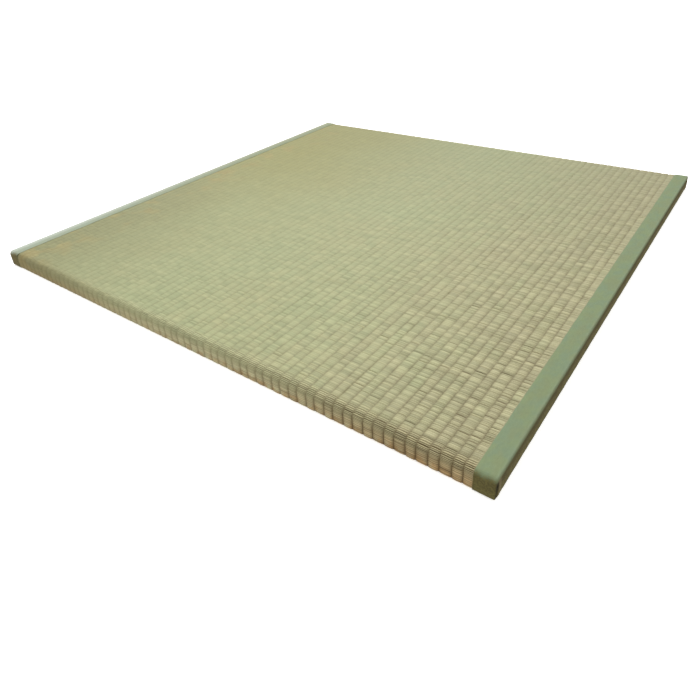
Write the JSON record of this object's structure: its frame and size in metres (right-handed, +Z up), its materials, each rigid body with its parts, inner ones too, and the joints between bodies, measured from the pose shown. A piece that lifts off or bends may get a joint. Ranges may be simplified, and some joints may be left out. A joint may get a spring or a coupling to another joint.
{
  "type": "tatami mat",
  "caption": "Square flat mat of ribbed woven rush, wrapped over two ends, with plain cloth bindings folded round the other two edges.",
  "frame": {"origin": "centre of the mat's underside, on the surface that it lies on", "axes": "+Z up through the mat's thickness, +Y along the ribs and the bindings, +X across the ribs towards the right binding"},
  "size_m": [1, 1, 0.03],
  "materials": {
    "rush": "dry woven rush strands with a faint sheen",
    "binding_cloth": "matt plain-woven cotton"
  },
  "bodies": {
    "root": {"rush_mat": "rush", "binding_right": "binding_cloth", "binding_left": "binding_cloth"}
  },
  "joints": []
}
